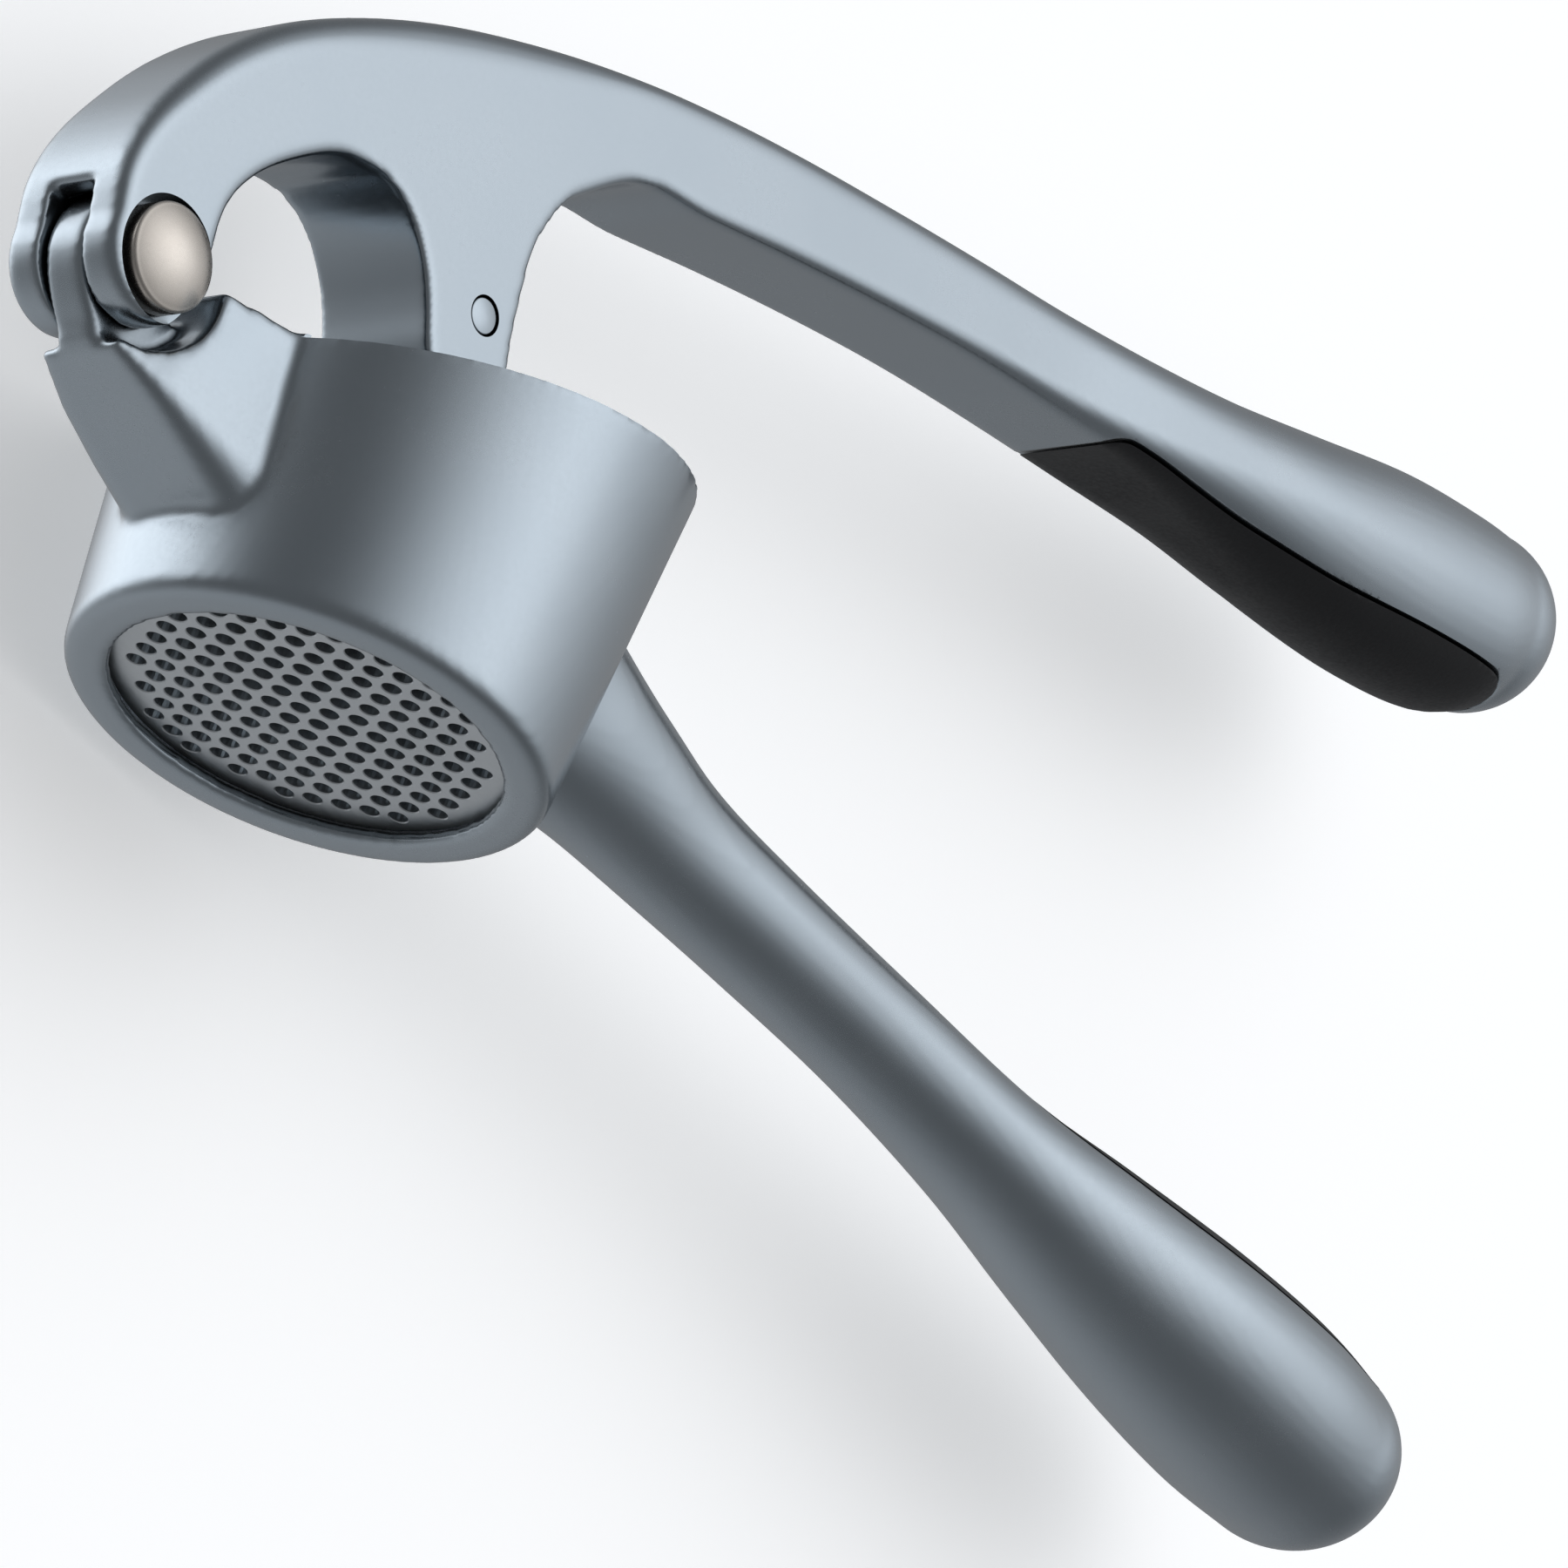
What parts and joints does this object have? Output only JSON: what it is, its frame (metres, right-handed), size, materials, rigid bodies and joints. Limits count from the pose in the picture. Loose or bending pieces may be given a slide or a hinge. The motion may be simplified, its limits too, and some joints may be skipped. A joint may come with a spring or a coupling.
{
  "type": "garlic press",
  "caption": "Hand garlic press: slanted round cup with sieve, hinged arch handle carrying a pivoting plunger, teardrop handle ends with soft inner grips.",
  "frame": {"origin": "middle of the bounding box's base: the press lies on its side, its cup's rim just reaching z = 0", "axes": "+X from the hinge towards the handle ends, along the lower handle; +Y out of the cup's mouth; +Z along the hinge pin"},
  "size_m": [0.1748, 0.0974, 0.04],
  "materials": {
    "cast_zinc": "satin blue-grey coated cast zinc",
    "pin_nickel": "satin warm nickel",
    "sieve_steel": "brushed stainless steel",
    "soft_grip": "matt black soft rubber"
  },
  "bodies": {
    "lower": {"lower_handle": "cast_zinc", "sieve": "sieve_steel", "lower_grip": "soft_grip"},
    "upper": {"upper_handle": "cast_zinc", "hinge_pin": "pin_nickel", "plunger_pin": "cast_zinc", "upper_grip": "soft_grip"},
    "plunger": {"plunger": "cast_zinc"}
  },
  "joints": [
    {"name": "handle_hinge", "type": "hinge", "parent": "lower", "child": "upper", "pos_m": [-0.08135, -0.03121, 0.02], "axis": [0, 0, 1], "range_deg": [-18, 50]},
    {"name": "plunger_pivot", "type": "hinge", "parent": "upper", "child": "plunger", "pos_m": [-0.05285, -0.01561, 0.02], "axis": [0, 0, 1], "range_deg": [-13, 5]}
  ],
  "couplings": [
    {"joint": "plunger_pivot", "follows": "handle_hinge", "ratio": -0.25}
  ]
}
